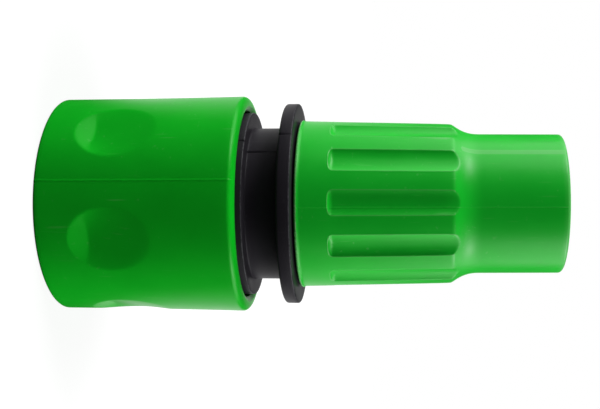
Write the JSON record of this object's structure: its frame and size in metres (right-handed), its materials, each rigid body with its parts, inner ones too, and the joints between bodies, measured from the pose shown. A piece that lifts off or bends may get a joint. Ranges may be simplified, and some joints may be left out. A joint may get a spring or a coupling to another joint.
{
  "type": "garden hose quick connector",
  "caption": "Garden hose quick connector with a sliding release sleeve, a water stop and a fluted clamping nut for the hose.",
  "frame": {"origin": "centre of the release sleeve's mouth face, which the connector stands on", "axes": "+Z along the connector's axis from the mouth to the hose end; +X through claw_1"},
  "size_m": [0.036, 0.036, 0.0822],
  "materials": {
    "green_sleeve": "satin moulded polypropylene",
    "green_nut": "satin moulded polypropylene",
    "black_body": "satin moulded ABS",
    "white_acetal": "moulded acetal",
    "grey_acetal": "moulded acetal",
    "seal_rubber": "matt moulded rubber",
    "spring_steel": "drawn stainless wire"
  },
  "bodies": {
    "core": {"rear_body": "black_body", "front_socket": "black_body", "socket_seal": "seal_rubber", "valve_guide": "white_acetal", "sleeve_spring": "spring_steel", "valve_spring": "spring_steel"},
    "sleeve": {"release_sleeve": "green_sleeve"},
    "hook_1": {"claw_1": "white_acetal"},
    "hook_2": {"claw_2": "white_acetal"},
    "hook_3": {"claw_3": "white_acetal"},
    "hook_4": {"claw_4": "white_acetal"},
    "plunger": {"valve_plunger": "grey_acetal", "plunger_seal": "seal_rubber"},
    "collet": {"grip_collet": "grey_acetal"},
    "nut": {"grip_nut": "green_nut"}
  },
  "joints": [
    {"name": "sleeve_slide", "type": "slide", "parent": "core", "child": "sleeve", "axis": [0, 0, 1], "range_m": [0, 0.005], "stiffness_N_per_m": 1200, "springref_m": -0.006, "deforming": ["sleeve_spring"]},
    {"name": "claw_1_slide", "type": "slide", "parent": "core", "child": "hook_1", "axis": [1, 0, 0], "range_m": [0, 0.00135]},
    {"name": "claw_2_slide", "type": "slide", "parent": "core", "child": "hook_2", "axis": [0, 1, 0], "range_m": [0, 0.00135]},
    {"name": "claw_3_slide", "type": "slide", "parent": "core", "child": "hook_3", "axis": [-1, 0, 0], "range_m": [0, 0.00135]},
    {"name": "claw_4_slide", "type": "slide", "parent": "core", "child": "hook_4", "axis": [0, -1, 0], "range_m": [0, 0.00135]},
    {"name": "valve_slide", "type": "slide", "parent": "core", "child": "plunger", "axis": [0, 0, 1], "range_m": [0, 0.004], "stiffness_N_per_m": 300, "springref_m": -0.004, "deforming": ["valve_spring"]},
    {"name": "collet_slide", "type": "slide", "parent": "core", "child": "collet", "axis": [0, 0, 1], "range_m": [0, 0.009]},
    {"name": "nut_turn", "type": "hinge", "parent": "collet", "child": "nut", "pos_m": [0, 0, 0.0399], "axis": [0, 0, 1], "range_deg": [0, 1080]}
  ],
  "couplings": [
    {"joint": "claw_1_slide", "follows": "sleeve_slide", "ratio": 0.27},
    {"joint": "claw_2_slide", "follows": "sleeve_slide", "ratio": 0.27},
    {"joint": "claw_3_slide", "follows": "sleeve_slide", "ratio": 0.27},
    {"joint": "claw_4_slide", "follows": "sleeve_slide", "ratio": 0.27},
    {"joint": "collet_slide", "follows": "nut_turn", "m_per_rad": 0.00047746}
  ]
}
